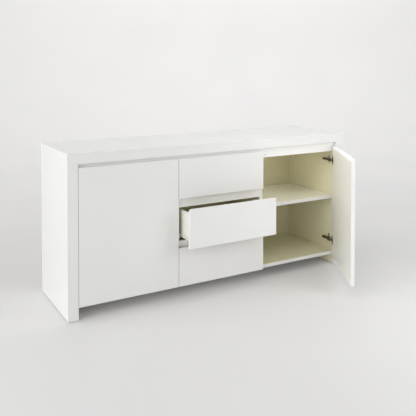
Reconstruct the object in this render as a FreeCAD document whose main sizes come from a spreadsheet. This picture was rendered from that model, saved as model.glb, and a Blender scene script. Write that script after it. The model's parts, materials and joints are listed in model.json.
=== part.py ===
import FreeCAD, Part
from collections import namedtuple
import os
import re
import Sketcher

# A white gloss sideboard: a thick top slab on two thick end panels, two hinged doors and a
# centre bank of three drawers. Millimetres. X runs to the right, Y from the front to the back
# and Z up. The origin is on the floor, at the middle of the carcass.
# It stands as it is used: the middle drawer is part way out and the right door is part open.

SIZES = {
    # overall
    "overall_width": 1650,
    "overall_depth": 450,
    "overall_height": 773,
    # boards
    "slab_thickness": 50,
    "end_thickness": 50,
    "board_thickness": 18,
    "front_thickness": 19,
    "back_thickness": 4,
    "back_inset": 1,
    "rebate_depth": 8,
    # heights under and between the fronts
    "glide_height": 3,
    "floor_gap": 58,
    "top_gap": 18,
    "grip_gap": 26,
    "top_front_extra": 5.5,
    "grip_bevel": 15,
    "end_gap": 2,
    "front_gap": 3,
    "front_side_cover": 10.5,
    "bumper_thickness": 1,
    "bumper_radius": 4,
    "bumper_edge_inset": 25,
    "bumper_grip_drop": 8,
    # rails behind the fronts
    "top_rail_height": 54,
    "drawer_rail_height": 50,
    "rail_cover_above": 21.5,
    "rail_cover_below": 5,
    # shelves and their pins
    "shelf_setback": 10,
    "shelf_side_play": 1,
    "shelf_back_play": 2,
    "pin_radius": 2.5,
    "pin_height": 386,
    "pin_pitch": 32,
    "pin_front_offset": 37,
    "pin_rear_offset": 60,
    "pin_depth": 8.5,
    "pin_reach": 7,
    "hole_play": 0.1,
    # glides and the foot under the middle
    "glide_radius": 14,
    "glide_chamfer": 1,
    "glide_offset": 30,
    "glide_stem_radius": 4,
    "glide_stem_length": 14,
    "foot_base_radius": 22,
    "foot_base_height": 6,
    "foot_base_slope": 4,
    "foot_post_radius": 14,
    "foot_flange_radius": 27,
    "foot_flange_thickness": 4,
    # dowels, connectors and screws
    "dowel_radius": 4,
    "dowel_depth": 16,
    "dowel_short_depth": 12,
    "dowel_offset": 45,
    "connector_radius": 7.5,
    "connector_depth": 12.5,
    "connector_setback": 34,
    "connector_bolt_radius": 3.5,
    "connector_bolt_reach": 11,
    "connector_offset": 120,
    "back_screw_edge": 60,
    "back_screw_head_radius": 3.4,
    "back_screw_head_height": 2,
    "back_screw_radius": 1.5,
    "back_screw_length": 16,
    # concealed hinges: distances in from the end panel (reach) and back from the datum (depth),
    # an upright plane ahead of the fronts' rear face
    "hinge_from_edge": 88,
    "hinge_datum": 19,
    "door_pivot_reach": 6,
    "door_pivot_depth": 3,
    "cup_radius": 17.5,
    "cup_wall": 0.8,
    "cup_depth": 12.5,
    "cup_setback": 21.5,
    "cup_flange_radius": 19.5,
    "cup_flange_thickness": 1.2,
    "cup_ear_width": 18,
    "cup_ear_height": 56,
    "cup_screw_spacing": 46,
    "cup_screw_radius": 1.75,
    "cup_screw_head_radius": 3.4,
    "cup_screw_head_height": 1.4,
    "cup_screw_length": 11,
    "plate_depth": 57,
    "plate_length": 44,
    "plate_width": 14,
    "plate_thickness": 12,
    "plate_wing_height": 48,
    "plate_wing_length": 12,
    "plate_wing_thickness": 3,
    "plate_screw_spacing": 32,
    "euro_screw_radius": 2.6,
    "euro_screw_head_radius": 4.2,
    "euro_screw_head_height": 1.8,
    "euro_screw_length": 11,
    "arm_width": 13,
    "arm_height": 12,
    "arm_rear_depth": 92,
    "arm_bend_depth": 42,
    "arm_nose_reach": 30.5,
    "arm_nose_depth": 11.5,
    "arm_nose_half": 3.4,
    "arm_nose_chamfer": 1.5,
    "arm_neck_near": 12,
    "arm_neck_far": 8,
    "arm_shoulder": 4,
    "link_slot_half": 3.2,
    "link_slot_reach": 8,
    "link_slot_back": 12,
    "link_length": 16.5,
    "link_half_width": 2.9,
    "link_eye_radius": 3,
    "link_tip_radius": 1.5,
    "hinge_pin_radius": 1.5,
    "hinge_pin_play": 0.05,
    "link_closed_angle": 163,
    "link_turn_ratio": 1,
    # drawer boxes
    "drawer_floor_gap": 7,
    "drawer_side_drop": 36.5,
    "drawer_board": 12,
    "drawer_bottom_thickness": 3,
    "drawer_bottom_lift": 10,
    "groove_depth": 6,
    "groove_play": 0.2,
    # roller runners: distances in from the partition
    "runner_room": 12.5,
    "runner_length": 400,
    "runner_front_setback": 2,
    "runner_gauge": 1.2,
    "channel_width": 9.8,
    "channel_top": 17.8,
    "channel_bottom": -6,
    "runner_flange_height": 15,
    "runner_ledge_reach": 2.6,
    "runner_foot_width": 9.5,
    "roller_radius": 9,
    "roller_play": 0.3,
    "roller_rim": 0.6,
    "roller_bore_play": 0.05,
    "roller_width": 7.9,
    "roller_side_gap": 0.5,
    "axle_radius": 2,
    "axle_head_radius": 3,
    "axle_head_height": 0.6,
    "cabinet_roller_setback": 14,
    "drawer_roller_setback": 12,
    "runner_screw_radius": 1.6,
    "runner_screw_head_radius": 2.2,
    "runner_screw_head_height": 0.8,
    "runner_screw_length": 9,
    "runner_screw_lift": 12,
    "drawer_screw_length": 6.5,
    "drawer_screw_lift": 10.5,
    # how the piece stands at rest
    "right_door_opening": 59,
    "middle_drawer_opening": 118,
}

# Places that follow from the sizes.
PLACES = {
    "half_width": "overall_width / 2",
    "inner_side": "half_width - end_thickness",
    "front_plane": "-overall_depth / 2",
    "rear_plane": "overall_depth / 2",
    "front_rear_face": "front_plane + front_thickness",
    "carcass_front": "front_rear_face + bumper_thickness",
    "rail_rear": "carcass_front + board_thickness",
    "hinge_plane": "front_rear_face - hinge_datum",
    "back_rear": "rear_plane - back_inset",
    "back_front": "back_rear - back_thickness",
    "slab_bottom": "overall_height - slab_thickness",
    "bottom_under": "glide_height + floor_gap",
    "bottom_top": "bottom_under + board_thickness",
    "front_top": "slab_bottom - top_gap",
    "lower_front_height": "(front_top - bottom_under - 2 * grip_gap - top_front_extra) / 3",
    "front_width": "(2 * inner_side - 2 * end_gap - 2 * front_gap) / 3",
    "middle_low": "bottom_under + lower_front_height + grip_gap",
    "middle_top": "middle_low + lower_front_height",
    "upper_low": "middle_top + grip_gap",
    "bay_half": "front_width / 2 - front_side_cover",
    "partition_outer": "bay_half + board_thickness",
    "top_rail_low": "slab_bottom - top_rail_height",
    "upper_rail_low": "middle_top - rail_cover_above",
    "lower_rail_top": "middle_low + rail_cover_below",
    "lower_rail_low": "lower_rail_top - drawer_rail_height",
    "door_inner_edge": "front_width / 2 + front_gap",
    "door_outer_edge": "inner_side - end_gap",
    "shelf_low": "pin_height + pin_radius",
    "pin_front": "carcass_front + pin_front_offset",
    "pin_rear": "back_front - pin_rear_offset",
    "hinge_low": "bottom_under + hinge_from_edge",
    "hinge_high": "front_top - hinge_from_edge",
    "drawer_lift": "board_thickness + drawer_floor_gap",
    "drawer_side_height": "lower_front_height - drawer_lift - drawer_side_drop",
    "box_outer": "bay_half - runner_room",
    "box_inner": "box_outer - drawer_board",
    "box_rear": "front_rear_face + runner_length",
    "roller_height": "runner_flange_height - runner_gauge - roller_play - roller_radius",
    "cabinet_roller_y": "carcass_front + cabinet_roller_setback",
    "drawer_roller_y": "box_rear - drawer_roller_setback",
}

DRAWERS = {
    "top": ("upper_low", "front_top - upper_low"),
    "middle": ("middle_low", "lower_front_height"),
    "bottom": ("bottom_under", "lower_front_height"),
}
SIDES = {"left": -1, "right": 1}
ORIGIN_PLANES = {"XY": "XY_Plane", "XZ": "XZ_Plane", "YZ": "YZ_Plane"}
# turns that bring a cylinder's own axis, +Z, onto each axis of the frame
TURNS = {
    "x": FreeCAD.Rotation(FreeCAD.Vector(0, 1, 0), 90),
    "y": FreeCAD.Rotation(FreeCAD.Vector(1, 0, 0), -90),
    "z": FreeCAD.Rotation(),
}
# how far a cutting tool runs past the face that it cuts
OVERCUT = 1
# front and rear, or lower and upper
BOTH_WAYS = (-1, 1)
PIN_ROWS = (-1, 0, 1)
HINGE_HEIGHTS = ("hinge_low", "hinge_high")
END_DOWELS = 4
PARTITION_DOWELS = 3
PARTITION_BACK_SCREWS = 4
BOTTOM_BACK_SCREWS = 5
# places of screws as shares of a runner's length and of a drawer back's height
RUNNER_SCREW_SHARES = (0.25, 0.5, 0.85)
BACK_SCREW_SHARES = (0.45, 0.8)

Dowel = namedtuple("Dowel", "name side upright place before beyond")

doc = FreeCAD.newDocument("sideboard")
sheet = doc.addObject("Spreadsheet::Sheet", "sizes")
for row, (alias, size) in enumerate(SIZES.items(), start=1):
    sheet.set(f"A{row}", alias)
    sheet.set(f"B{row}", str(size))
    sheet.setAlias(f"B{row}", alias)
doc.recompute()

nodes = []


def formula(text):
    """Write a formula in the sheet's terms, with each place spelt out."""

    def spell(match):
        word = match.group(0)
        if word in SIZES:
            return f"sizes.{word}"
        if word in PLACES:
            return f"({formula(PLACES[word])})"
        return word

    return re.sub(r"[a-z][a-z0-9_]*", spell, str(text))


def number(text):
    """The present value of a formula."""
    return float(sheet.evalExpression(formula(text)))


def bind_place(item, place):
    """Tie an object's position to three formulas."""
    for axis, text in zip("xyz", place):
        item.setExpression(f"Placement.Base.{axis}", formula(text))


def node(label, item):
    """Mark an object as a finished sub-part."""
    item.Label = label
    nodes.append(item)
    return item


def block(name, low, high):
    """A box between two corners."""
    box = doc.addObject("Part::Box", name)
    for side, start, end in zip(("Length", "Width", "Height"), low, high):
        box.setExpression(side, formula(f"({end}) - ({start})"))
    bind_place(box, low)
    return box


def rod(name, axis, start, radius, length):
    """A cylinder that runs along an axis from its start."""
    cylinder = doc.addObject("Part::Cylinder", name)
    cylinder.Placement = FreeCAD.Placement(FreeCAD.Vector(), TURNS[axis])
    cylinder.setExpression("Radius", formula(radius))
    cylinder.setExpression("Height", formula(length))
    bind_place(cylinder, start)
    return cylinder


def sideways_rod(name, side, reach, y, z, radius, length, wall="inner_side"):
    """A cylinder along X that starts a reach in from a side wall and runs on inwards."""
    if side > 0:
        start = f"{wall} - ({reach}) - ({length})"
    else:
        start = f"-({wall}) + ({reach})"
    return rod(name, "x", (start, y, z), radius, length)


def group(name, items):
    """Separate solids kept together."""
    compound = doc.addObject("Part::Compound", name)
    compound.Links = items
    return compound


def fused(name, items):
    """Solids joined into one."""
    joined = doc.addObject("Part::MultiFuse", name)
    joined.Shapes = items
    return joined


def cut(name, base, tools):
    """A base with all the tools taken out of it."""
    result = doc.addObject("Part::Cut", name)
    result.Base = base
    result.Tool = tools[0] if len(tools) == 1 else group(f"{name}_tools", tools)
    return result


def origin_plane(body, plane):
    """One of a body's own origin planes."""
    role = ORIGIN_PLANES[plane]
    return next(item for item in body.Origin.OriginFeatures if item.Role == role)


def outline(body, name, plane, corners):
    """A closed outline of straight edges, each corner tied to its two formulas."""
    sketch = body.newObject("Sketcher::SketchObject", name)
    sketch.AttachmentSupport = (origin_plane(body, plane), [""])
    sketch.MapMode = "FlatFace"
    points = [FreeCAD.Vector(number(across), number(up), 0) for across, up in corners]
    for start, end in zip(points, points[1:] + points[:1]):
        sketch.addGeometry(Part.LineSegment(start, end), False)
    for edge in range(len(points)):
        following = (edge + 1) % len(points)
        sketch.addConstraint(Sketcher.Constraint("Coincident", edge, 2, following, 1))
    for corner, (point, (across, up)) in enumerate(zip(points, corners)):
        for kind, value, text in (("DistanceX", point.x, across), ("DistanceY", point.y, up)):
            index = sketch.addConstraint(Sketcher.Constraint(kind, -1, 1, corner, 1, value))
            sketch.setExpression(f"Constraints[{index}]", formula(text))
    return sketch


def extrusion(name, plane, corners, start, length):
    """A body padded from an outline along the plane's own axis of the frame."""
    body = doc.addObject("PartDesign::Body", name)
    sketch = outline(body, f"{name}_outline", plane, corners)
    pad = body.newObject("PartDesign::Pad", f"{name}_pad")
    pad.Profile = sketch
    pad.setExpression("Length", formula(length))
    axis = {"XY": "z", "XZ": "y", "YZ": "x"}[plane]
    # the XZ plane faces the front, so its pad grows towards the front from its far end
    anchor = f"({start}) + ({length})" if plane == "XZ" else start
    body.setExpression(f"Placement.Base.{axis}", formula(anchor))
    return body


def turned(name, corners, place, axis="z"):
    """A body turned from a half section of radius and height, standing at a place."""
    body = doc.addObject("PartDesign::Body", name)
    body.Placement = FreeCAD.Placement(FreeCAD.Vector(), TURNS[axis])
    sketch = outline(body, f"{name}_section", "XZ", corners)
    revolution = body.newObject("PartDesign::Revolution", f"{name}_turn")
    revolution.Profile = sketch
    revolution.ReferenceAxis = (sketch, ["V_Axis"])
    revolution.Angle = 360
    bind_place(body, place)
    return body


def mirrored(side, low_x, high_x):
    """The two X ends of a span given for the right, in order, on either side."""
    if side > 0:
        return low_x, high_x
    return f"-({high_x})", f"-({low_x})"


def spread(start, end, count):
    """Evenly spaced places from a start to an end."""
    return [f"({start}) + {step} * (({end}) - ({start})) / {count - 1}" for step in range(count)]


# ---------------------------------------------------------------- dowels and connectors

def carcass_dowels():
    """Every dowel: where its joint is, and how far it runs before the joint and beyond it."""
    dowels = []
    rail_middle = "carcass_front + board_thickness / 2"
    for side_name, side in SIDES.items():
        across = f"{side} * (half_width - end_thickness / 2)"
        depths = spread("front_plane + dowel_offset", "rear_plane - dowel_offset", END_DOWELS)
        for step, depth in enumerate(depths):
            dowels.append(Dowel(f"{side_name}_end_{step}", side, True,
                                (across, depth, "slab_bottom"), "dowel_depth", "dowel_depth"))
        across = f"{side} * (bay_half + board_thickness / 2)"
        depths = spread("rail_rear + dowel_offset", "back_front - dowel_offset", PARTITION_DOWELS)
        for step, depth in enumerate(depths):
            dowels.append(Dowel(f"{side_name}_partition_top_{step}", side, True,
                                (across, depth, "slab_bottom"), "dowel_depth", "dowel_depth"))
            dowels.append(Dowel(f"{side_name}_partition_foot_{step}", side, True,
                                (across, depth, "bottom_top"), "dowel_short_depth",
                                "dowel_depth"))
        for step, depth in enumerate(("carcass_front + dowel_offset", "back_front - dowel_offset")):
            dowels.append(Dowel(f"{side_name}_bottom_{step}", side, False,
                                ("inner_side", depth, "bottom_under + board_thickness / 2"),
                                "dowel_depth", "dowel_depth"))
        dowels.append(Dowel(f"{side_name}_top_rail", side, False,
                            ("inner_side", rail_middle, "top_rail_low + top_rail_height / 2"),
                            "dowel_depth", "dowel_depth"))
        for rail, low in (("upper", "upper_rail_low"), ("lower", "lower_rail_low")):
            for way in BOTH_WAYS:
                height = f"{low} + drawer_rail_height / 2 + {way} * drawer_rail_height / 4"
                dowels.append(Dowel(f"{side_name}_{rail}_rail_{way + 1}", side, False,
                                    ("bay_half", rail_middle, height),
                                    "dowel_depth", "dowel_short_depth"))
    return dowels


def dowel_rod(dowel, name, play):
    """One dowel, or the hole for it when it is given some play."""
    radius = f"dowel_radius + {play}"
    length = f"({dowel.before}) + ({dowel.beyond})"
    x, y, z = dowel.place
    if dowel.upright:
        return rod(name, "z", (x, y, f"({z}) - ({dowel.before})"), radius, length)
    return sideways_rod(name, dowel.side, f"-({dowel.beyond})", y, z, radius, length, wall=x)


DOWELS = carcass_dowels()


def dowel_holes(*parts_of_names):
    """Holes for every dowel whose name holds one of the given texts."""
    holes = []
    for dowel in DOWELS:
        if any(text in dowel.name for text in parts_of_names):
            holes.append(dowel_rod(dowel, f"dowel_hole_{len(doc.Objects)}", "hole_play"))
    return holes


def connector_parts(side_name, way, play):
    """The round housing and the bolt of one panel connector, or the holes for them."""
    side = SIDES[side_name]
    depth = f"{way} * connector_offset"
    index = len(doc.Objects)
    housing_x = f"{side} * (inner_side - connector_setback)"
    housing = rod(f"connector_housing_{index}", "z", (housing_x, depth, "bottom_under"),
                  f"connector_radius + {play}", "connector_depth")
    bolt_length = "connector_setback - connector_radius + connector_bolt_reach"
    bolt = sideways_rod(f"connector_bolt_{index}", side, "-connector_bolt_reach", depth,
                        "bottom_under + board_thickness / 2", f"connector_bolt_radius + {play}",
                        bolt_length)
    return housing, bolt


def connector_tools(side_names):
    """The holes for the connectors at the given ends of the bottom panel."""
    tools = []
    for side_name in side_names:
        for way in BOTH_WAYS:
            tools.extend(connector_parts(side_name, way, "hole_play"))
    return tools


def pin_holes(side, wall, direction):
    """Three rows of two shelf-pin holes in a wall; direction is +1 when the wood lies outwards."""
    holes = []
    for row in PIN_ROWS:
        for place in ("pin_front", "pin_rear"):
            height = f"pin_height + {row} * pin_pitch"
            depth = "pin_depth + hole_play"
            index = len(doc.Objects)
            reach = f"-({depth})" if direction > 0 else "0"
            holes.append(sideways_rod(f"pin_hole_{index}", side, reach, place, height,
                                      "pin_radius + hole_play", depth, wall=wall))
    return holes


def plate_screw_places():
    """Height of each screw of the hinge plates."""
    return [f"({height}) + {half} * plate_screw_spacing / 2"
            for height in HINGE_HEIGHTS for half in BOTH_WAYS]


def partition_screw_places(side):
    """Where the back panel is screwed to a partition."""
    across = f"{side} * (bay_half + board_thickness / 2)"
    heights = spread("bottom_top + back_screw_edge", "slab_bottom - back_screw_edge",
                     PARTITION_BACK_SCREWS)
    return [(across, height) for height in heights]


def bottom_screw_places():
    """Where the back panel is screwed to the bottom panel."""
    places = spread("-inner_side + back_screw_edge", "inner_side - back_screw_edge",
                    BOTTOM_BACK_SCREWS)
    return [(across, "bottom_under + board_thickness / 2") for across in places]


def back_screw_places():
    """Where all the back panel's screws go."""
    places = bottom_screw_places()
    for side in SIDES.values():
        places += partition_screw_places(side)
    return places


def back_screw(place, play):
    """A countersunk screw through the back panel, or the hole for it."""
    across, height = place
    index = len(doc.Objects)
    neck = f"back_screw_radius + {play}"
    # heights run from the tip, inside the wood, out to the flat of the head
    shoulder = "back_screw_length - back_screw_head_height"
    section = [("0", "0"), (neck, "0"), (neck, shoulder),
               (f"back_screw_head_radius + {play}", "back_screw_length"),
               ("0", "back_screw_length")]
    start = (across, "back_rear - back_screw_length", height)
    return turned(f"back_screw_{index}", section, start, axis="y")


# ------------------------------------------------------------------------------ carcass

def make_slab():
    slab = block("slab_block", ("-half_width", "front_plane", "slab_bottom"),
                 ("half_width", "rear_plane", "overall_height"))
    rebate = block("slab_rebate",
                   ("-inner_side - rebate_depth", "back_front", "slab_bottom"),
                   ("inner_side + rebate_depth", f"rear_plane + {OVERCUT}",
                    "slab_bottom + rebate_depth"))
    holes = dowel_holes("_end_", "_partition_top_")
    node("top_slab", cut("top_slab", slab, [rebate] + holes))


def glide_place(side, way):
    """X and Y of a glide under an end panel."""
    return (f"{side} * (half_width - end_thickness / 2)",
            f"{way} * (overall_depth / 2 - glide_offset)")


def glide_stem_hole(side, way):
    """The hole for a glide's stem in an end panel."""
    x, y = glide_place(side, way)
    return rod(f"glide_hole_{len(doc.Objects)}", "z", (x, y, "glide_height"),
               "glide_stem_radius + hole_play", "glide_stem_length + hole_play")


def make_end_panel(side_name):
    side = SIDES[side_name]
    low_x, high_x = mirrored(side, "inner_side", "half_width")
    panel = block(f"{side_name}_end_block", (low_x, "front_plane", "glide_height"),
                  (high_x, "rear_plane", "slab_bottom"))
    low_x, high_x = mirrored(side, f"inner_side - {OVERCUT}", "inner_side + rebate_depth")
    rebate = block(f"{side_name}_end_rebate", (low_x, "back_front", f"glide_height - {OVERCUT}"),
                   (high_x, f"rear_plane + {OVERCUT}", f"slab_bottom + {OVERCUT}"))
    tools = [rebate]
    tools += dowel_holes(f"{side_name}_end_", f"{side_name}_bottom_", f"{side_name}_top_rail")
    tools += connector_tools([side_name])
    tools += pin_holes(side, "inner_side", 1)
    tools += [glide_stem_hole(side, way) for way in BOTH_WAYS]
    for height in plate_screw_places():
        index = len(doc.Objects)
        tools.append(sideways_rod(f"plate_screw_hole_{index}", side,
                                  "-euro_screw_length - hole_play", "hinge_plane + plate_depth",
                                  height, "euro_screw_radius + hole_play",
                                  "euro_screw_length + hole_play"))
    node(f"{side_name}_end_panel", cut(f"{side_name}_end_panel", panel, tools))


def make_bottom_panel():
    panel = block("bottom_block", ("-inner_side", "carcass_front", "bottom_under"),
                  ("inner_side", "back_front", "bottom_top"))
    tools = dowel_holes("_bottom_", "_partition_foot_") + connector_tools(SIDES)
    tools += [back_screw(place, "hole_play") for place in bottom_screw_places()]
    node("bottom_panel", cut("bottom_panel", panel, tools))


def runner_screw_ys(start):
    """Where the screws of a runner go along its length."""
    return [f"({start}) + {share} * runner_length" for share in RUNNER_SCREW_SHARES]


def cabinet_runner_screws(side, low, play):
    """The screws that hold one cabinet runner, or the holes for them."""
    screws = []
    for place in runner_screw_ys("carcass_front + runner_front_setback"):
        index = len(doc.Objects)
        height = f"({low}) + drawer_lift + runner_screw_lift"
        shank = sideways_rod(f"runner_screw_{index}", side, "-runner_screw_length", place, height,
                             f"runner_screw_radius + {play}", "runner_screw_length + runner_gauge",
                             wall="bay_half")
        head = sideways_rod(f"runner_screw_head_{index}", side, "runner_gauge", place, height,
                            "runner_screw_head_radius", "runner_screw_head_height",
                            wall="bay_half")
        screws.append((shank, head))
    return screws


def make_partition(side_name):
    side = SIDES[side_name]
    low_x, high_x = mirrored(side, "bay_half", "partition_outer")
    panel = block(f"{side_name}_partition_block", (low_x, "carcass_front", "bottom_top"),
                  (high_x, "back_front", "slab_bottom"))
    low_x, high_x = mirrored(side, f"bay_half - {OVERCUT}", f"partition_outer + {OVERCUT}")
    notch = block(f"{side_name}_partition_notch",
                  (low_x, f"carcass_front - {OVERCUT}", "top_rail_low"),
                  (high_x, "rail_rear", f"slab_bottom + {OVERCUT}"))
    tools = [notch]
    tools += dowel_holes(f"{side_name}_partition", f"{side_name}_upper_rail",
                         f"{side_name}_lower_rail")
    # seen from its compartment the partition's wood lies inwards
    tools += pin_holes(side, "partition_outer", -1)
    for low, _ in DRAWERS.values():
        tools += [shank for shank, _ in cabinet_runner_screws(side, low, "hole_play")]
    tools += [back_screw(place, "hole_play") for place in partition_screw_places(side)]
    node(f"{side_name}_partition", cut(f"{side_name}_partition", panel, tools))


def make_back_panel():
    panel = block("back_block", ("-inner_side - rebate_depth", "back_front", "bottom_under"),
                  ("inner_side + rebate_depth", "back_rear", "slab_bottom + rebate_depth"))
    tools = [back_screw(place, "hole_play") for place in back_screw_places()]
    node("back_panel", cut("back_panel", panel, tools))


def make_rails():
    rail = block("top_rail_block", ("-inner_side", "carcass_front", "top_rail_low"),
                 ("inner_side", "rail_rear", "slab_bottom"))
    node("top_front_rail", cut("top_front_rail", rail, dowel_holes("_top_rail")))
    for name, low in (("upper", "upper_rail_low"), ("lower", "lower_rail_low")):
        rail = block(f"{name}_rail_block", ("-bay_half", "carcass_front", low),
                     ("bay_half", "rail_rear", f"{low} + drawer_rail_height"))
        node(f"{name}_drawer_rail", cut(f"{name}_drawer_rail", rail, dowel_holes(f"_{name}_rail_")))


def make_shelves():
    for side_name, side in SIDES.items():
        low_x, high_x = mirrored(side, "partition_outer + shelf_side_play",
                                 "inner_side - shelf_side_play")
        shelf = block(f"{side_name}_shelf",
                      (low_x, "carcass_front + shelf_setback", "shelf_low"),
                      (high_x, "back_front - shelf_back_play", "shelf_low + board_thickness"))
        node(f"{side_name}_shelf", shelf)


def make_shelf_pins():
    pins = []
    length = "pin_depth + pin_reach"
    for side in SIDES.values():
        for place in ("pin_front", "pin_rear"):
            index = len(doc.Objects)
            pins.append(sideways_rod(f"end_pin_{index}", side, "-pin_depth", place, "pin_height",
                                     "pin_radius", length))
            pins.append(sideways_rod(f"partition_pin_{index}", side, "-pin_reach", place,
                                     "pin_height", "pin_radius", length, wall="partition_outer"))
    node("shelf_pins", group("shelf_pins", pins))


def make_glides():
    section = [("0", "0"), ("glide_radius - glide_chamfer", "0"), ("glide_radius", "glide_chamfer"),
               ("glide_radius", "glide_height"), ("glide_stem_radius", "glide_height"),
               ("glide_stem_radius", "glide_height + glide_stem_length"),
               ("0", "glide_height + glide_stem_length")]
    glides = []
    for side_name, side in SIDES.items():
        for way in BOTH_WAYS:
            x, y = glide_place(side, way)
            glides.append(turned(f"{side_name}_glide_{way + 1}", section, (x, y, "0")))
    node("floor_glides", group("floor_glides", glides))


def make_centre_foot():
    flange = "bottom_under - foot_flange_thickness"
    section = [("0", "0"), ("foot_base_radius", "0"), ("foot_base_radius", "foot_base_height"),
               ("foot_post_radius", "foot_base_height + foot_base_slope"),
               ("foot_post_radius", flange),
               ("foot_flange_radius", flange), ("foot_flange_radius", "bottom_under"),
               ("0", "bottom_under")]
    node("centre_foot", turned("centre_foot", section, ("0", "0", "0")))


def make_fixings():
    dowels = [dowel_rod(dowel, f"dowel_{dowel.name}", "0") for dowel in DOWELS]
    node("wooden_dowels", group("wooden_dowels", dowels))
    connectors = []
    for side_name in SIDES:
        for way in BOTH_WAYS:
            connectors.extend(connector_parts(side_name, way, "0"))
    node("panel_connectors", group("panel_connectors", connectors))
    screws = [back_screw(place, "0") for place in back_screw_places()]
    node("back_screws", group("back_screws", screws))


def make_bumpers():
    """Small round buffers on the carcass edges that the closed fronts rest against."""
    places = []
    for side in SIDES.values():
        door_x = f"{side} * (door_inner_edge + bumper_edge_inset)"
        places.append((door_x, "front_top - grip_bevel - bumper_grip_drop"))
        places.append((door_x, "bottom_under + board_thickness / 2"))
        for low, height in DRAWERS.values():
            edge = f"{side} * (bay_half + front_side_cover / 2)"
            places.append((edge, f"({low}) + bumper_edge_inset"))
            places.append((edge, f"({low}) + ({height}) - grip_bevel - bumper_edge_inset"))
    bumpers = [rod(f"bumper_{index}", "y", (x, "front_rear_face", z),
                   "bumper_radius", "bumper_thickness")
               for index, (x, z) in enumerate(places)]
    node("front_bumpers", group("front_bumpers", bumpers))


# ------------------------------------------------------------------------------- hinges

def reach_x(side, reach):
    """X of a point a reach in from the end panel's inner face."""
    return f"{side} * (inner_side - ({reach}))"


def make_hinge_plates():
    plates, screws = [], []
    for side_name, side in SIDES.items():
        for height in HINGE_HEIGHTS:
            tag = f"{side_name}_{height}"
            centre = "hinge_plane + plate_depth"
            low_x, high_x = mirrored(side, "inner_side - plate_thickness", "inner_side")
            pad = block(f"plate_pad_{tag}",
                        (low_x, f"{centre} - plate_length / 2", f"{height} - plate_width / 2"),
                        (high_x, f"{centre} + plate_length / 2", f"{height} + plate_width / 2"))
            low_x, high_x = mirrored(side, "inner_side - plate_wing_thickness", "inner_side")
            wing = block(f"plate_wing_{tag}",
                         (low_x, f"{centre} - plate_wing_length / 2",
                          f"{height} - plate_wing_height / 2"),
                         (high_x, f"{centre} + plate_wing_length / 2",
                          f"{height} + plate_wing_height / 2"))
            holes = []
            for half in BOTH_WAYS:
                place = f"{height} + {half} * plate_screw_spacing / 2"
                holes.append(sideways_rod(f"plate_hole_{tag}_{half + 1}", side, "0", centre, place,
                                          "euro_screw_radius + hole_play", "plate_wing_thickness"))
                shank = sideways_rod(f"euro_shank_{tag}_{half + 1}", side, "-euro_screw_length",
                                     centre, place, "euro_screw_radius",
                                     "euro_screw_length + plate_wing_thickness")
                head = sideways_rod(f"euro_head_{tag}_{half + 1}", side, "plate_wing_thickness",
                                    centre, place, "euro_screw_head_radius",
                                    "euro_screw_head_height")
                screws.append(fused(f"euro_screw_{tag}_{half + 1}", [shank, head]))
            plates.append(cut(f"plate_{tag}", fused(f"plate_whole_{tag}", [pad, wing]), holes))
    node("hinge_plates", group("hinge_plates", plates))
    return screws


def arm_outline(side):
    """The arm from above: it lies on the plate and bends in to its nose behind the door."""
    near = "plate_thickness"
    far = "plate_thickness + arm_height"
    nose_near = "arm_nose_reach - arm_nose_half"
    nose_far = "arm_nose_reach + arm_nose_half"
    tip = "arm_nose_depth - arm_nose_half"
    corners = [
        (near, "arm_rear_depth"),
        (near, "arm_bend_depth"),
        (nose_near, "arm_bend_depth - arm_neck_near"),
        (nose_near, f"{tip} + arm_nose_chamfer"),
        (f"{nose_near} + arm_nose_chamfer", tip),
        (f"{nose_far} - arm_nose_chamfer", tip),
        (nose_far, f"{tip} + arm_nose_chamfer"),
        (nose_far, "arm_bend_depth - arm_neck_far"),
        (far, "arm_bend_depth + arm_shoulder"),
        (far, "arm_rear_depth"),
    ]
    return [(reach_x(side, reach), f"hinge_plane + ({depth})") for reach, depth in corners]


def make_hinge_arms():
    arms = []
    for side_name, side in SIDES.items():
        for height in HINGE_HEIGHTS:
            tag = f"{side_name}_{height}"
            arm = extrusion(f"arm_body_{tag}", "XY", arm_outline(side),
                            f"{height} - arm_width / 2", "arm_width")
            low_x, high_x = mirrored(side, "inner_side - arm_nose_reach - link_slot_reach",
                                     "inner_side - arm_nose_reach + link_slot_reach")
            nose = "hinge_plane + arm_nose_depth"
            slot = block(f"arm_slot_{tag}",
                         (low_x, f"{nose} - link_slot_reach", f"{height} - link_slot_half"),
                         (high_x, f"{nose} + link_slot_back", f"{height} + link_slot_half"))
            pin = rod(f"arm_pin_{tag}", "z",
                      (reach_x(side, "arm_nose_reach"), "hinge_plane + arm_nose_depth",
                       f"{height} - arm_width / 2"), "hinge_pin_radius", "arm_width")
            arms.append(fused(f"arm_{tag}", [cut(f"arm_slotted_{tag}", arm, [slot]), pin]))
    node("hinge_arms", group("hinge_arms", arms))


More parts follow.
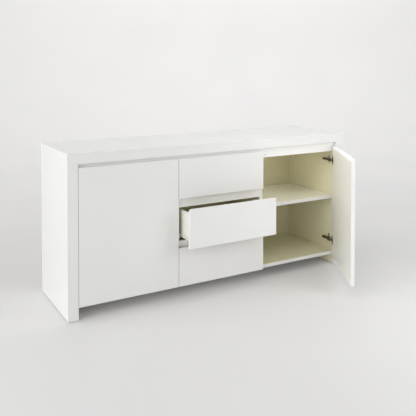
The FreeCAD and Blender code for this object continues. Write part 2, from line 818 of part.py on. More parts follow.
def make_hinge_links(side_name, opening):
    """The pair of links of one door, each from the arm's pin into the cup."""
    side = SIDES[side_name]
    links = []
    for height in HINGE_HEIGHTS:
        tag = f"{side_name}_{height}"
        low = f"({height}) - link_half_width"
        width = "2 * link_half_width"
        eye = rod(f"link_eye_{tag}", "z", ("0", "0", low), "link_eye_radius", width)
        tip = rod(f"link_tip_{tag}", "z", ("link_length", "0", low), "link_tip_radius", width)
        bar = block(f"link_bar_{tag}", ("0", "-link_tip_radius", low),
                    ("link_length", "link_tip_radius", f"({height}) + link_half_width"))
        bore = rod(f"link_bore_{tag}", "z", ("0", "0", low),
                   "hinge_pin_radius + hinge_pin_play", width)
        links.append(cut(f"link_{tag}", fused(f"link_whole_{tag}", [eye, tip, bar]), [bore]))
    pair = group(f"{side_name}_hinge_links", links)
    # the angle is measured in plan from the inward direction towards the back
    plan_angle = number("link_closed_angle") + number("link_turn_ratio") * opening
    angle = 180 - plan_angle if side > 0 else plan_angle
    pivot = FreeCAD.Vector(number(reach_x(side, "arm_nose_reach")),
                           number("hinge_plane + arm_nose_depth"), 0)
    pair.Placement = FreeCAD.Placement(pivot, FreeCAD.Rotation(FreeCAD.Vector(0, 0, 1), angle))
    node(f"{side_name}_hinge_links", pair)


def cup_x(side):
    return f"{side} * (door_outer_edge - cup_setback)"


def cup_screw_heights():
    return [f"({height}) + {half} * cup_screw_spacing / 2"
            for height in HINGE_HEIGHTS for half in BOTH_WAYS]


def make_hinge_cup(side, height, tag):
    x = cup_x(side)
    floor = "front_rear_face - cup_depth"
    shell = rod(f"cup_shell_{tag}", "y", (x, floor, height), "cup_radius", "cup_depth")
    rim = rod(f"cup_rim_{tag}", "y", (x, "front_rear_face", height),
              "cup_flange_radius", "cup_flange_thickness")
    ears = block(f"cup_ears_{tag}",
                 (f"{x} - cup_ear_width / 2", "front_rear_face", f"{height} - cup_ear_height / 2"),
                 (f"{x} + cup_ear_width / 2", "front_rear_face + cup_flange_thickness",
                  f"{height} + cup_ear_height / 2"))
    pocket = rod(f"cup_pocket_{tag}", "y", (x, f"{floor} + cup_wall", height),
                 "cup_radius - cup_wall", f"cup_depth + cup_flange_thickness + {OVERCUT}")
    holes = []
    for half in BOTH_WAYS:
        place = f"{height} + {half} * cup_screw_spacing / 2"
        holes.append(rod(f"cup_hole_{tag}_{half + 1}", "y", (x, "front_rear_face", place),
                         "cup_screw_radius + hole_play", "cup_flange_thickness"))
    return cut(f"cup_{tag}", fused(f"cup_whole_{tag}", [shell, rim, ears]), [pocket] + holes)


def front_outline(low, height):
    """A front from its side: a flat board whose top rear edge is cut back as a finger grip."""
    top = f"({low}) + ({height})"
    return [("front_plane", low), ("front_rear_face", low),
            ("front_rear_face", f"{top} - grip_bevel"),
            ("front_rear_face - grip_bevel", top), ("front_plane", top)]


def swing(item, side, opening):
    """Turn a door's piece about the door's pivot."""
    pivot = FreeCAD.Vector(number(reach_x(side, "door_pivot_reach")),
                           number("front_plane + door_pivot_depth"), 0)
    turn = FreeCAD.Rotation(FreeCAD.Vector(0, 0, side), opening)
    item.Placement = FreeCAD.Placement(FreeCAD.Vector(), turn, pivot)


def make_door(side_name, opening):
    side = SIDES[side_name]
    low_x, _ = mirrored(side, "door_inner_edge", "door_outer_edge")
    board = extrusion(f"{side_name}_door_board", "YZ",
                      front_outline("bottom_under", "front_top - bottom_under"),
                      low_x, "door_outer_edge - door_inner_edge")
    bores, cups, screws = [], [], []
    for height in HINGE_HEIGHTS:
        tag = f"{side_name}_{height}"
        bores.append(rod(f"cup_bore_{tag}", "y",
                         (cup_x(side), "front_rear_face - cup_depth", height),
                         "cup_radius + hole_play", f"cup_depth + {OVERCUT}"))
        cups.append(make_hinge_cup(side, height, tag))
    for index, height in enumerate(cup_screw_heights()):
        tag = f"{side_name}_{index}"
        start = (cup_x(side), "front_rear_face - cup_screw_length", height)
        bores.append(rod(f"cup_screw_bore_{tag}", "y", start, "cup_screw_radius + hole_play",
                         f"cup_screw_length + {OVERCUT}"))
        shank = rod(f"cup_shank_{tag}", "y", start, "cup_screw_radius",
                    "cup_screw_length + cup_flange_thickness")
        head = rod(f"cup_head_{tag}", "y",
                   (cup_x(side), "front_rear_face + cup_flange_thickness", height),
                   "cup_screw_head_radius", "cup_screw_head_height")
        screws.append(fused(f"cup_screw_{tag}", [shank, head]))
    pieces = (
        node(f"{side_name}_door", cut(f"{side_name}_door", board, bores)),
        node(f"{side_name}_hinge_cups", group(f"{side_name}_hinge_cups", cups)),
        node(f"{side_name}_cup_screws", group(f"{side_name}_cup_screws", screws)),
    )
    for piece in pieces:
        swing(piece, side, opening)


# ------------------------------------------------------------------------------ drawers

def roller(name, side, near, y, z):
    """A nylon roller with softened rims, its near face a distance in from the partition."""
    rim = "roller_radius - roller_rim"
    section = [("axle_radius + roller_bore_play", "0"), (rim, "0"),
               ("roller_radius", "roller_rim"), ("roller_radius", "roller_width - roller_rim"),
               (rim, "roller_width"),
               ("axle_radius + roller_bore_play", "roller_width")]
    if side > 0:
        start = f"bay_half - ({near}) - roller_width"
    else:
        start = f"-bay_half + ({near})"
    return turned(name, section, (start, y, z), axis="x")


def axle(name, side, near, far, head_near, y, z):
    """An axle between two distances in from the partition, with its head at one of them."""
    stem = sideways_rod(f"{name}_stem", side, near, y, z, "axle_radius",
                        f"({far}) - ({near})", wall="bay_half")
    head = sideways_rod(f"{name}_head", side, head_near, y, z, "axle_head_radius",
                        "axle_head_height", wall="bay_half")
    return [stem, head]


def make_cabinet_runners(name, low):
    runners, rollers = [], []
    base = f"({low}) + drawer_lift"
    height = f"{base} + roller_height"
    for side_name, side in SIDES.items():
        tag = f"{name}_{side_name}"
        section = [
            ("0", "channel_bottom"),
            ("channel_width", "channel_bottom"),
            ("channel_width", "channel_bottom + runner_gauge"),
            ("runner_gauge", "channel_bottom + runner_gauge"),
            ("runner_gauge", "channel_top - runner_gauge"),
            ("channel_width", "channel_top - runner_gauge"),
            ("channel_width", "channel_top"),
            ("0", "channel_top"),
        ]
        corners = [(f"{side} * (bay_half - ({inward}))", f"{base} + {up}")
                   for inward, up in section]
        channel = extrusion(f"channel_{tag}", "XZ", corners,
                            "carcass_front + runner_front_setback", "runner_length")
        holes = [shank for shank, _ in cabinet_runner_screws(side, low, "hole_play")]
        near = "runner_gauge + roller_side_gap"
        end = f"{near} + roller_width + roller_side_gap"
        stem, head = axle(f"cabinet_axle_{tag}", side, "runner_gauge", end,
                          end, "cabinet_roller_y", height)
        runners.append(fused(f"cabinet_runner_{tag}",
                             [cut(f"channel_drilled_{tag}", channel, holes), stem, head]))
        rollers.append(roller(f"cabinet_roller_{tag}", side, near, "cabinet_roller_y", height))
    node(f"{name}_cabinet_runners", group(f"{name}_cabinet_runners", runners))
    node(f"{name}_cabinet_rollers", group(f"{name}_cabinet_rollers", rollers))


def make_carcass_screws(screws):
    """The screws of the hinge plates and of the cabinet runners."""
    for low, _ in DRAWERS.values():
        for side in SIDES.values():
            for shank, head in cabinet_runner_screws(side, low, "0"):
                screws.append(fused(f"{shank.Name}_whole", [shank, head]))
    node("carcass_screws", group("carcass_screws", screws))


def drawer_screw_tools(side, base, play):
    """The screws of one side of a drawer, or the holes for them: its runner's, its back's."""
    runner_screws = [(y, f"{base} + drawer_screw_lift", "runner_room - runner_gauge",
                      "drawer_screw_length")
                     for y in runner_screw_ys("front_rear_face")]
    back_screws = [("box_rear - drawer_board / 2", f"{base} + {share} * drawer_side_height",
                    "runner_room", "2 * drawer_board")
                   for share in BACK_SCREW_SHARES]
    return (drawer_screws(side, runner_screws, play), drawer_screws(side, back_screws, play))


def drawer_screws(side, places, play):
    """Screws driven from outside into a drawer's side, each a shank and a head."""
    screws = []
    for y, z, reach, length in places:
        index = len(doc.Objects)
        shank = sideways_rod(f"drawer_shank_{index}", side, reach, y, z,
                             f"runner_screw_radius + {play}", length, wall="bay_half")
        head = sideways_rod(f"drawer_head_{index}", side, f"{reach} - runner_screw_head_height",
                            y, z, "runner_screw_head_radius", "runner_screw_head_height",
                            wall="bay_half")
        screws.append((shank, head))
    return screws


def make_drawer_runners(name, base):
    runners, rollers = [], []
    height = f"{base} + roller_height"
    for side_name, side in SIDES.items():
        tag = f"{name}_{side_name}"
        flange = "runner_room - runner_gauge"
        shelf_under = "runner_flange_height - runner_gauge"
        foot = "runner_room + runner_foot_width"
        section = [
            ("runner_ledge_reach", shelf_under),
            (flange, shelf_under),
            (flange, "-runner_gauge"),
            (foot, "-runner_gauge"),
            (foot, "0"),
            ("runner_room", "0"),
            ("runner_room", "runner_flange_height"),
            ("runner_ledge_reach", "runner_flange_height"),
        ]
        corners = [(f"{side} * (bay_half - ({inward}))", f"{base} + {up}")
                   for inward, up in section]
        rail = extrusion(f"drawer_rail_{tag}", "XZ", corners, "front_rear_face", "runner_length")
        runner_screws, _ = drawer_screw_tools(side, base, "hole_play")
        holes = [shank for shank, _ in runner_screws]
        far = f"{flange} - roller_side_gap"
        near = f"{far} - roller_width"
        head_near = f"{near} - roller_side_gap - axle_head_height"
        stem, head = axle(f"drawer_axle_{tag}", side, head_near, flange, head_near,
                          "drawer_roller_y", height)
        runners.append(fused(f"drawer_runner_{tag}",
                             [cut(f"drawer_rail_drilled_{tag}", rail, holes), stem, head]))
        rollers.append(roller(f"drawer_roller_{tag}", side, near, "drawer_roller_y", height))
    return (node(f"{name}_drawer_runners", group(f"{name}_drawer_runners", runners)),
            node(f"{name}_drawer_rollers", group(f"{name}_drawer_rollers", rollers)))


def make_drawer(name, low, height, opening):
    base = f"({low}) + drawer_lift"
    floor = f"{base} + drawer_bottom_lift"
    groove_top = f"{floor} + drawer_bottom_thickness + groove_play"
    board = extrusion(f"{name}_front_board", "YZ", front_outline(low, height),
                      "-front_width / 2", "front_width")
    groove = block(f"{name}_front_groove",
                   ("-box_inner - groove_depth", "front_rear_face - groove_depth", floor),
                   ("box_inner + groove_depth", f"front_rear_face + {OVERCUT}", groove_top))
    pieces = [node(f"{name}_drawer_front", cut(f"{name}_drawer_front", board, [groove]))]
    screws = []
    for side_name, side in SIDES.items():
        low_x, high_x = mirrored(side, "box_inner", "box_outer")
        panel = block(f"{name}_{side_name}_side_block", (low_x, "front_rear_face", base),
                      (high_x, "box_rear", f"{base} + drawer_side_height"))
        low_x, high_x = mirrored(side, f"box_inner - {OVERCUT}", "box_inner + groove_depth")
        groove = block(f"{name}_{side_name}_side_groove",
                       (low_x, f"front_rear_face - {OVERCUT}", floor),
                       (high_x, f"box_rear + {OVERCUT}", groove_top))
        holes = [shank for kind in drawer_screw_tools(side, base, "hole_play")
                 for shank, _ in kind]
        label = f"{name}_drawer_{side_name}_side"
        pieces.append(node(label, cut(label, panel, [groove] + holes)))
        for kind in drawer_screw_tools(side, base, "0"):
            screws += [fused(f"{shank.Name}_whole", [shank, head]) for shank, head in kind]
    back = block(f"{name}_back_block", ("-box_inner", "box_rear - drawer_board", groove_top),
                 ("box_inner", "box_rear", f"{base} + drawer_side_height"))
    holes = []
    for side in SIDES.values():
        _, back_screws = drawer_screw_tools(side, base, "hole_play")
        holes += [shank for shank, _ in back_screws]
    pieces.append(node(f"{name}_drawer_back", cut(f"{name}_drawer_back", back, holes)))
    tongue = "groove_depth - groove_play"
    bottom = block(f"{name}_bottom_board",
                   (f"-box_inner - ({tongue})", f"front_rear_face - ({tongue})",
                    f"{floor} + groove_play / 2"),
                   (f"box_inner + {tongue}", "box_rear",
                    f"{floor} + drawer_bottom_thickness + groove_play / 2"))
    label = f"{name}_drawer_bottom"
    pieces.append(node(label, group(label, [bottom])))
    pieces.append(node(f"{name}_drawer_screws", group(f"{name}_drawer_screws", screws)))
    pieces.extend(make_drawer_runners(name, base))
    for piece in pieces:
        slide(piece, opening)


def slide(item, opening):
    """Move a drawer's piece forwards by its opening."""
    item.setExpression("Placement.Base.y", formula(f"-({opening})"))


# ---------------------------------------------------------------------------- assembly

make_slab()
for side_name in SIDES:
    make_end_panel(side_name)
    make_partition(side_name)
make_bottom_panel()
make_back_panel()
make_rails()
make_shelves()
make_shelf_pins()
make_glides()
make_centre_foot()
make_fixings()
make_bumpers()

plate_screws = make_hinge_plates()
make_hinge_arms()
for side_name, opening in (("left", 0), ("right", number("right_door_opening"))):
    make_door(side_name, opening)
    make_hinge_links(side_name, opening)

make_carcass_screws(plate_screws)
for name, (low, height) in DRAWERS.items():
    make_cabinet_runners(name, low)
    make_drawer(name, low, height, "middle_drawer_opening" if name == "middle" else "0")

doc.recompute()

for item in doc.Objects:
    if "Invalid" in item.State or "Error" in item.State:
        raise RuntimeError(f"{item.Label} did not recompute: {item.State}")
for item in nodes:
    if item.Shape.isNull() or not item.Shape.isValid():
        raise RuntimeError(f"{item.Label} has no valid shape")

os.makedirs("parts", exist_ok=True)
for item in nodes:
    item.Shape.exportStep(f"parts/{item.Label}.step")
    solids = len(item.Shape.Solids)
    print(f"{item.Label}: {solids} solid(s), {item.Shape.Volume / 1000:.1f} cm3")
print(f"{len(nodes)} nodes")
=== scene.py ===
import json
import math

import bpy
from mathutils import Matrix, Vector


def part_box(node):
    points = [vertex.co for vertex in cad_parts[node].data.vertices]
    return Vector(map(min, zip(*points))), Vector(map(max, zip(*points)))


# A white gloss sideboard with a cream interior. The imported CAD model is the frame; this
# script gives it its finishes, its softened edges, a studio and a camera. Metres.

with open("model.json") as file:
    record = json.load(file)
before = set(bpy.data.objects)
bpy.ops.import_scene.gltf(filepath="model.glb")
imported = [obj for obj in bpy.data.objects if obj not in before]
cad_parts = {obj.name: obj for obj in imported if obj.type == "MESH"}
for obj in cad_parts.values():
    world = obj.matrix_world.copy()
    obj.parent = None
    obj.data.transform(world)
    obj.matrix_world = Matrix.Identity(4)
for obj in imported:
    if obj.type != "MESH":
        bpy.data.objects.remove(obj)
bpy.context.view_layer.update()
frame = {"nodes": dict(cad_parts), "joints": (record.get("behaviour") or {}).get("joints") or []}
nodes = frame["nodes"]
scene = bpy.context.scene

DRAWERS = ("top", "middle", "bottom")
SIDES = ("left", "right")
BOARDS = ["top_slab", "bottom_panel", "top_front_rail", "upper_drawer_rail",
          "lower_drawer_rail"]
for side in SIDES:
    BOARDS += [f"{side}_end_panel", f"{side}_partition", f"{side}_door"]
for drawer in DRAWERS:
    BOARDS += [f"{drawer}_drawer_{part}"
               for part in ("front", "left_side", "right_side", "back")]
# a face this near to an outer plane lies in it
FLUSH = 0.00002
# both parts of a 45 degree bevel's normal are larger than this
SLOPE = 0.6
# corners this near to each other are one corner
SAME_CORNER = 0.000002
# edges that turn by more than this are rounded, by the radii below
SHARP = math.radians(40)
FRAME_EDGE = 0.0012
FRONT_EDGE = 0.0008
BOARD_EDGE = 0.0005
# the backdrop stands square to the camera, which looks from the front left
YAW = math.radians(30.036)
PITCH = math.radians(1.607)
BACKDROP_TURN = math.radians(-30)


# ------------------------------------------------------------------- shader helpers

def new_material(name):
    """An empty node material with its principled shader."""
    material = bpy.data.materials.new(name)
    material.use_nodes = True
    tree = material.node_tree
    shader = tree.nodes["Principled BSDF"]
    return material, tree, shader


def texture_coordinates(tree, scale=(1, 1, 1)):
    """Object coordinates, stretched by a scale along each axis."""
    source = tree.nodes.new("ShaderNodeTexCoord")
    mapping = tree.nodes.new("ShaderNodeMapping")
    mapping.inputs["Scale"].default_value = scale
    tree.links.new(source.outputs["Object"], mapping.inputs["Vector"])
    return mapping.outputs["Vector"]


def noise(tree, vector, scale, detail=2.0, roughness=0.5):
    """Noise at a number of features per metre."""
    texture = tree.nodes.new("ShaderNodeTexNoise")
    texture.inputs["Scale"].default_value = scale
    texture.inputs["Detail"].default_value = detail
    texture.inputs["Roughness"].default_value = roughness
    tree.links.new(vector, texture.inputs["Vector"])
    return texture.outputs["Fac"]


def ramp(tree, value, stops):
    """A colour ramp over a value; each stop is a position and a colour."""
    node = tree.nodes.new("ShaderNodeValToRGB")
    elements = node.color_ramp.elements
    while len(elements) > 1:
        elements.remove(elements[-1])
    elements[0].position, elements[0].color = stops[0][0], (*stops[0][1], 1)
    for position, colour in stops[1:]:
        element = elements.new(position)
        element.color = (*colour, 1)
    tree.links.new(value, node.inputs["Fac"])
    return node.outputs["Color"]


def remap(tree, value, low, high):
    """The middle of a noise's range, from 0.3 to 0.7, moved onto another range."""
    node = tree.nodes.new("ShaderNodeMapRange")
    node.inputs["From Min"].default_value = 0.3
    node.inputs["From Max"].default_value = 0.7
    node.inputs["To Min"].default_value = low
    node.inputs["To Max"].default_value = high
    tree.links.new(value, node.inputs["Value"])
    return node.outputs["Result"]


def bump(tree, shader, value, distance, strength):
    """Relief of a height in metres."""
    node = tree.nodes.new("ShaderNodeBump")
    node.inputs["Strength"].default_value = strength
    node.inputs["Distance"].default_value = distance
    tree.links.new(value, node.inputs["Height"])
    tree.links.new(node.outputs["Normal"], shader.inputs["Normal"])


def shade(colour, factor):
    """A colour made lighter or darker."""
    return tuple(min(1.0, channel * factor) for channel in colour)


# ------------------------------------------------------------------------ materials

def lacquer(name, colour, roughness):
    """Sprayed high-gloss lacquer: a slight orange peel, a slight unevenness in the gloss."""
    material, tree, shader = new_material(name)
    vector = texture_coordinates(tree)
    tone = noise(tree, vector, 6, detail=3)
    tree.links.new(ramp(tree, tone, [(0.35, shade(colour, 0.995)), (0.65, shade(colour, 1.005))]),
                   shader.inputs["Base Color"])
    gloss = noise(tree, vector, 25, detail=4)
    tree.links.new(remap(tree, gloss, roughness * 0.94, roughness * 1.08),
                   shader.inputs["Roughness"])
    peel = noise(tree, vector, 300, detail=1)
    bump(tree, shader, peel, 0.000003, 0.5)
    shader.inputs["Coat Weight"].default_value = 0.35
    shader.inputs["Coat Roughness"].default_value = 0.05
    shader.inputs["Specular IOR Level"].default_value = 0.5
    return material


def melamine(name, colour, roughness=0.28):
    """Melamine-faced board: a fine emboss and faint mottling."""
    material, tree, shader = new_material(name)
    vector = texture_coordinates(tree)
    mottle = noise(tree, vector, 60, detail=5, roughness=0.6)
    tree.links.new(ramp(tree, mottle, [(0.3, shade(colour, 0.97)), (0.7, shade(colour, 1.02))]),
                   shader.inputs["Base Color"])
    emboss = noise(tree, vector, 1600, detail=2)
    tree.links.new(remap(tree, emboss, roughness * 0.85, roughness * 1.2),
                   shader.inputs["Roughness"])
    bump(tree, shader, emboss, 0.00005, 0.6)
    return material


def inside_only(name, outside, inside, behind):
    """A board face that is cream behind a plane across Y and white in front of it."""
    material = melamine(name, inside, roughness=0.2)
    tree = material.node_tree
    shader = tree.nodes["Principled BSDF"]
    place = tree.nodes.new("ShaderNodeTexCoord")
    axes = tree.nodes.new("ShaderNodeSeparateXYZ")
    tree.links.new(place.outputs["Object"], axes.inputs["Vector"])
    step = tree.nodes.new("ShaderNodeMath")
    step.operation = "GREATER_THAN"
    step.inputs[1].default_value = behind
    tree.links.new(axes.outputs["Y"], step.inputs[0])
    mix = tree.nodes.new("ShaderNodeMix")
    mix.data_type = "RGBA"
    tree.links.new(step.outputs["Value"], mix.inputs["Factor"])
    mix.inputs["A"].default_value = (*outside, 1)
    tree.links.new(shader.inputs["Base Color"].links[0].from_socket, mix.inputs["B"])
    tree.links.new(mix.outputs["Result"], shader.inputs["Base Color"])
    return material


def hardboard(name, colour):
    """The bare brown rear of thin fibreboard, fibrous and dull."""
    material, tree, shader = new_material(name)
    vector = texture_coordinates(tree)
    fibre = noise(tree, vector, 300, detail=8, roughness=0.7)
    tree.links.new(ramp(tree, fibre, [(0.3, shade(colour, 0.82)), (0.5, colour),
                                      (0.72, shade(colour, 1.18))]),
                   shader.inputs["Base Color"])
    shader.inputs["Roughness"].default_value = 0.85
    bump(tree, shader, fibre, 0.0003, 0.7)
    return material


def chipboard(name, colour):
    """Particle board where it is drilled or sawn: chips of several browns."""
    material, tree, shader = new_material(name)
    vector = texture_coordinates(tree)
    chips = tree.nodes.new("ShaderNodeTexVoronoi")
    chips.inputs["Scale"].default_value = 900
    tree.links.new(vector, chips.inputs["Vector"])
    tone = noise(tree, chips.outputs["Color"], 3.0, detail=2)
    tree.links.new(ramp(tree, tone, [(0.3, shade(colour, 0.6)), (0.5, colour),
                                     (0.7, shade(colour, 1.3))]),
                   shader.inputs["Base Color"])
    shader.inputs["Roughness"].default_value = 0.9
    bump(tree, shader, tone, 0.0003, 0.8)
    return material


def metal(name, colour, roughness, grain=0.3):
    """Plated pressed steel with faint drawing lines."""
    material, tree, shader = new_material(name)
    vector = texture_coordinates(tree, (1, 1, 12))
    lines = noise(tree, vector, 260, detail=4)
    tree.links.new(ramp(tree, lines, [(0.3, shade(colour, 0.86)), (0.7, shade(colour, 1.1))]),
                   shader.inputs["Base Color"])
    tree.links.new(remap(tree, lines, roughness * (1 - grain), roughness * (1 + grain)),
                   shader.inputs["Roughness"])
    shader.inputs["Metallic"].default_value = 1.0
    bump(tree, shader, lines, 0.00003, 0.5)
    return material


def enamel(name, colour, roughness):
    """Powder coat on steel: a soft pebble texture."""
    material, tree, shader = new_material(name)
    vector = texture_coordinates(tree)
    pebble = noise(tree, vector, 900, detail=2)
    tree.links.new(ramp(tree, pebble, [(0.3, shade(colour, 0.96)), (0.7, shade(colour, 1.02))]),
                   shader.inputs["Base Color"])
    tree.links.new(remap(tree, pebble, roughness * 0.8, roughness * 1.2),
                   shader.inputs["Roughness"])
    bump(tree, shader, pebble, 0.00006, 0.6)
    return material


def plastic(name, colour, roughness, subsurface=0.0):
    """Moulded plastic with a fine spark-eroded grain."""
    material, tree, shader = new_material(name)
    vector = texture_coordinates(tree)
    grainy = noise(tree, vector, 700, detail=3)
    tree.links.new(ramp(tree, grainy, [(0.3, shade(colour, 0.93)), (0.7, shade(colour, 1.05))]),
                   shader.inputs["Base Color"])
    tree.links.new(remap(tree, grainy, roughness * 0.85, roughness * 1.15),
                   shader.inputs["Roughness"])
    if subsurface:
        shader.inputs["Subsurface Weight"].default_value = subsurface
        shader.inputs["Subsurface Scale"].default_value = 0.002
    bump(tree, shader, grainy, 0.00004, 0.6)
    return material


def bare_wood(name, colour):
    """Beech, with a fine grain that runs along Z."""
    material, tree, shader = new_material(name)
    vector = texture_coordinates(tree, (1, 1, 0.15))
    grain = noise(tree, vector, 900, detail=6, roughness=0.65)
    tree.links.new(ramp(tree, grain, [(0.3, shade(colour, 0.78)), (0.55, colour),
                                      (0.75, shade(colour, 1.12))]),
                   shader.inputs["Base Color"])
    shader.inputs["Roughness"].default_value = 0.6
    bump(tree, shader, grain, 0.0001, 0.5)
    return material


WHITE = (0.86, 0.86, 0.852)
CREAM = (0.80, 0.76, 0.55)
PALE_CREAM = (0.915, 0.905, 0.845)
white_lacquer = lacquer("white_gloss_lacquer", WHITE, 0.13)
cream_melamine = melamine("cream_melamine", CREAM)
# lighter than the boards above, to match how bright these pieces look in the photo
pale_melamine = melamine("pale_cream_melamine", PALE_CREAM, roughness=0.36)
# painted light: the shelf board is a lighter copy of the cream melamine, standing in for the
# direct light that falls on the shelf top
shelf_melamine_painted_light = melamine("shelf_melamine_painted_light", (0.90, 0.88, 0.76))
# painted light: the rails' lacquer is whiter than the other white lacquer, to brighten their
# shaded faces in the finger gaps and behind the open drawer
rail_lacquer_painted_light = lacquer("rail_gloss_lacquer_painted_light", (0.96, 0.96, 0.95), 0.13)
# the end panels are cream behind the bottom panel's front, the slab behind the rail's back
bottom_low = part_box("bottom_panel")[0]
rail_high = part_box("top_front_rail")[1]
two_tone = inside_only("end_panel_inner_face", WHITE, CREAM, bottom_low.y)
ceiling = inside_only("slab_under_face", WHITE, CREAM, rail_high.y)
particle_board = chipboard("particle_board", (0.34, 0.24, 0.15))
raw_back = hardboard("hardboard_rear", (0.42, 0.30, 0.19))
hinge_steel = metal("hinge_steel", (0.19, 0.155, 0.11), 0.28)
plate_steel = metal("hinge_plate_steel", (0.74, 0.68, 0.64), 0.22)
screw_steel = metal("screw_steel", (0.52, 0.51, 0.50), 0.3)
runner_enamel = enamel("runner_enamel", (0.80, 0.79, 0.71), 0.34)
nylon = plastic("roller_nylon", (0.80, 0.80, 0.77), 0.42, subsurface=0.15)
black_plastic = plastic("black_plastic", (0.025, 0.025, 0.027), 0.5)
bumper_rubber = plastic("bumper_polyurethane", (0.72, 0.73, 0.72), 0.18, subsurface=0.3)
beech = bare_wood("beech", (0.55, 0.38, 0.21))
zinc = metal("zinc_casting", (0.42, 0.42, 0.43), 0.5)


# ------------------------------------------------------------- finishes of the frame

def give(names, *materials):
    """Put materials in a node's slots, the first on every face."""
    for name in names:
        mesh = nodes[name].data
        mesh.materials.clear()
        for material in materials:
            mesh.materials.append(material)
        for polygon in mesh.polygons:
            polygon.material_index = 0


def faces_towards(name, direction, index, facing=0.97):
    """Give the faces of a node that look one way another of its slots."""
    direction = Vector(direction).normalized()
    for polygon in nodes[name].data.polygons:
        if polygon.normal.dot(direction) > facing:
            polygon.material_index = index


door_turn = {joint["child"]: -math.radians(joint["range_deg"][0]) * joint["axis"][2]
             for joint in frame["joints"] if joint["name"].endswith("door_swing")}


def rearward(door):
    """The direction that a door's inner face looks in as it stands."""
    angle = door_turn[door]
    return (-math.sin(angle), math.cos(angle), 0)


give(["top_slab"], white_lacquer, ceiling)
faces_towards("top_slab", (0, 0, -1), 1)
for side, inward in (("left", 1), ("right", -1)):
    give([f"{side}_end_panel"], white_lacquer, two_tone)
    faces_towards(f"{side}_end_panel", (inward, 0, 0), 1)
    give([f"{side}_partition"], cream_melamine, white_lacquer)
    give([f"{side}_shelf"], shelf_melamine_painted_light, white_lacquer)
    for name in (f"{side}_partition", f"{side}_shelf"):
        faces_towards(name, (0, -1, 0), 1)
    give([f"{side}_door"], white_lacquer, pale_melamine)
    faces_towards(f"{side}_door", rearward(f"{side}_door"), 1)
    give([f"{side}_hinge_cups", f"{side}_hinge_links"], hinge_steel)
    give([f"{side}_cup_screws"], screw_steel)
give(["bottom_panel"], cream_melamine, white_lacquer)
give(["top_front_rail", "upper_drawer_rail", "lower_drawer_rail"], cream_melamine, rail_lacquer_painted_light)
for name in ("bottom_panel", "top_front_rail", "upper_drawer_rail", "lower_drawer_rail"):
    faces_towards(name, (0, -1, 0), 1)
faces_towards("bottom_panel", (0, 0, -1), 1)
give(["back_panel"], cream_melamine, raw_back)
faces_towards("back_panel", (0, 1, 0), 1)
give(["shelf_pins", "back_screws", "carcass_screws"], screw_steel)
give(["floor_glides", "centre_foot"], black_plastic)
give(["wooden_dowels"], beech)
give(["panel_connectors"], zinc)
give(["front_bumpers"], bumper_rubber)
give(["hinge_plates"], plate_steel)
give(["hinge_arms"], hinge_steel)
for drawer in DRAWERS:
    give([f"{drawer}_drawer_front"], white_lacquer, cream_melamine)
    faces_towards(f"{drawer}_drawer_front", (0, 1, 0), 1)
    give([f"{drawer}_drawer_back"], cream_melamine)
    for side, inward in (("left", 1), ("right", -1)):
        give([f"{drawer}_drawer_{side}_side"], pale_melamine, cream_melamine)
        faces_towards(f"{drawer}_drawer_{side}_side", (inward, 0, 0), 1)
    give([f"{drawer}_drawer_bottom"], cream_melamine, raw_back)
    faces_towards(f"{drawer}_drawer_bottom", (0, 0, -1), 1)
    give([f"{drawer}_drawer_screws"], screw_steel)
    give([f"{drawer}_cabinet_runners", f"{drawer}_drawer_runners"], runner_enamel)
    give([f"{drawer}_cabinet_rollers", f"{drawer}_drawer_rollers"], nylon)


def bare_cuts(name, angle=0.0):
    """Show bare particle board in a board's bores, grooves and rebates.

    Those are the faces that don't lie in one of the board's own outer planes."""
    mesh = nodes[name].data
    level = Matrix.Rotation(-angle, 4, "Z")
    corners = [level @ vertex.co for vertex in mesh.vertices]
    low = [min(corner[axis] for corner in corners) for axis in range(3)]
    high = [max(corner[axis] for corner in corners) for axis in range(3)]
    mesh.materials.append(particle_board)
    slot = len(mesh.materials) - 1
    for polygon in mesh.polygons:
        points = [corners[index] for index in polygon.vertices]
        outer = any(all(abs(point[axis] - limit[axis]) < FLUSH for point in points)
                    for axis in range(3) for limit in (low, high))
        bevelled = abs((level @ polygon.normal).y) > SLOPE and abs(polygon.normal.z) > SLOPE
        if not outer and not bevelled:
            polygon.material_index = slot


for name in BOARDS:
    bare_cuts(name, door_turn.get(name, 0.0))


def soften(names, width):
    """Round the sharp edges of nodes by a small radius."""
    for name in names:
        item = nodes[name]
        weld = item.modifiers.new("weld", "WELD")
        weld.merge_threshold = SAME_CORNER
        bevel = item.modifiers.new("soft_edges", "BEVEL")
        bevel.width = width
        bevel.segments = 2
        bevel.limit_method = "ANGLE"
        bevel.angle_limit = SHARP
        even = item.modifiers.new("even_normals", "WEIGHTED_NORMAL")
        even.mode = "FACE_AREA"
        even.weight = 100
        even.keep_sharp = False


soften(["top_slab", "left_end_panel", "right_end_panel"], FRAME_EDGE)
soften(["left_door", "right_door"], FRONT_EDGE)
soften([f"{drawer}_drawer_front" for drawer in DRAWERS], FRONT_EDGE)
soften(["left_partition", "right_partition", "bottom_panel", "left_shelf", "right_shelf",
        "top_front_rail", "upper_drawer_rail", "lower_drawer_rail"], BOARD_EDGE)
soften(["hinge_arms", "hinge_plates", "left_hinge_cups", "right_hinge_cups"], BOARD_EDGE)


# ------------------------------------------------------------------ floor and backdrop

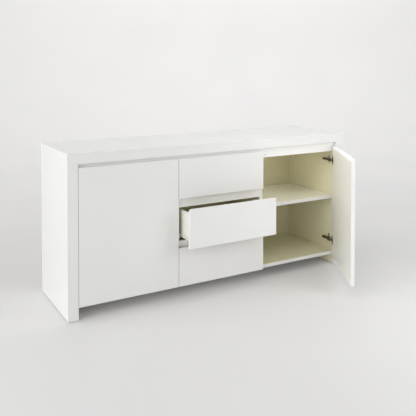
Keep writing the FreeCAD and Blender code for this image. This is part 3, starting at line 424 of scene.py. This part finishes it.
def make_floor():
    """A pale sweep: a floor that curves up into a wall far behind."""
    front, middle, depth = -9.0, -3.0, 3.2
    height, radius, half_width = 6.0, 1.6, 9.0
    steps = 16
    profile = [(front, 0.0), (middle, 0.0), (0.0, 0.0), (depth, 0.0)]
    for step in range(1, steps + 1):
        turn = math.pi / 2 * step / steps
        profile.append((depth + radius * math.sin(turn), radius - radius * math.cos(turn)))
    profile.append((depth + radius, height))
    vertices = [(x, y, z) for y, z in profile for x in (-half_width, half_width)]
    faces = [(2 * i, 2 * i + 1, 2 * i + 3, 2 * i + 2) for i in range(len(profile) - 1)]
    mesh = bpy.data.meshes.new("floor")
    mesh.from_pydata(vertices, [], faces)
    mesh.shade_smooth()
    floor = bpy.data.objects.new("floor", mesh)
    scene.collection.objects.link(floor)
    floor.rotation_euler = (0, 0, BACKDROP_TURN)
    material, tree, shader = new_material("studio_floor")
    vector = texture_coordinates(tree)
    tone = noise(tree, vector, 1.5, detail=3)
    tree.links.new(ramp(tree, tone, [(0.3, (0.83, 0.825, 0.825)), (0.7, (0.85, 0.845, 0.84))]),
                   shader.inputs["Base Color"])
    shader.inputs["Roughness"].default_value = 0.6
    mesh.materials.append(material)


make_floor()


# ------------------------------------------------------------------- lights and camera

def area_light(name, place, target, size, watts):
    """A soft rectangular light that faces a target."""
    data = bpy.data.lights.new(name, "AREA")
    data.shape = "RECTANGLE"
    data.size, data.size_y = size
    data.energy = watts
    light = bpy.data.objects.new(name, data)
    scene.collection.objects.link(light)
    light.location = place
    light.rotation_euler = (Vector(target) - Vector(place)).to_track_quat("-Z", "Y").to_euler()


# name, place, target, size, watts; the watts are fitted to the brightness in the photo
area_light("left_near", (-1.9, -1.0, 1.2), (0.7, -0.4, 0.5), (0.8, 0.8), 5.4)
area_light("front_right", (1.3, -2.2, 1.2), (0.4, -0.2, 0.6), (1.2, 1.0), 13.8)
area_light("door_high", (0.35, -0.75, 1.5), (0.6, -0.35, 0.5), (0.7, 0.4), 2.5)
area_light("upper_bay", (0.42, 0.02, 0.71), (0.43, -0.02, 0.4), (0.22, 0.2), 0.215)
area_light("backdrop_wash", (1.5, 1.8, 3.9), (2.8, 5.0, 1.5), (6.5, 2.2), 45.0)

world = bpy.data.worlds.new("studio")
scene.world = world
world.use_nodes = True
background = world.node_tree.nodes["Background"]
background.inputs["Color"].default_value = (1.0, 0.998, 0.992, 1)


def studio_glow(tree, even, sides):
    """An even light from all round, with more of it from some sides.

    Each side is a direction and a strength, which fades to nothing at right angles to it."""
    coordinates = tree.nodes.new("ShaderNodeTexCoord")
    total = tree.nodes.new("ShaderNodeValue").outputs["Value"]
    total.default_value = even
    for direction, strength in sides:
        towards = tree.nodes.new("ShaderNodeVectorMath")
        towards.operation = "DOT_PRODUCT"
        towards.inputs[1].default_value = direction
        tree.links.new(coordinates.outputs["Generated"], towards.inputs[0])
        facing = tree.nodes.new("ShaderNodeMath")
        facing.operation = "MAXIMUM"
        facing.inputs[1].default_value = 0.0
        tree.links.new(towards.outputs["Value"], facing.inputs[0])
        fade = tree.nodes.new("ShaderNodeMath")
        fade.operation = "POWER"
        fade.inputs[1].default_value = 2.0
        tree.links.new(facing.outputs["Value"], fade.inputs[0])
        added = tree.nodes.new("ShaderNodeMath")
        added.operation = "MULTIPLY_ADD"
        added.inputs[1].default_value = strength
        tree.links.new(fade.outputs["Value"], added.inputs[0])
        tree.links.new(total, added.inputs[2])
        total = added.outputs["Value"]
    return total


glow = studio_glow(world.node_tree, 0.29, [((-1, 0, 0), 1.92), ((0, 0, 1), 0.17)])
world.node_tree.links.new(glow, background.inputs["Strength"])

scene.view_settings.view_transform = "Standard"
scene.view_settings.look = "None"

camera_data = bpy.data.cameras.new("camera")
camera = bpy.data.objects.new("camera", camera_data)
scene.collection.objects.link(camera)
camera.location = (-1.6302, -2.8888, 1.1893)
camera.rotation_euler = (math.pi / 2 - PITCH, 0, -YAW)
camera_data.sensor_width = 36
camera_data.lens = 52.13
camera_data.shift_y = -0.3101
camera_data.clip_end = 60
scene.camera = camera
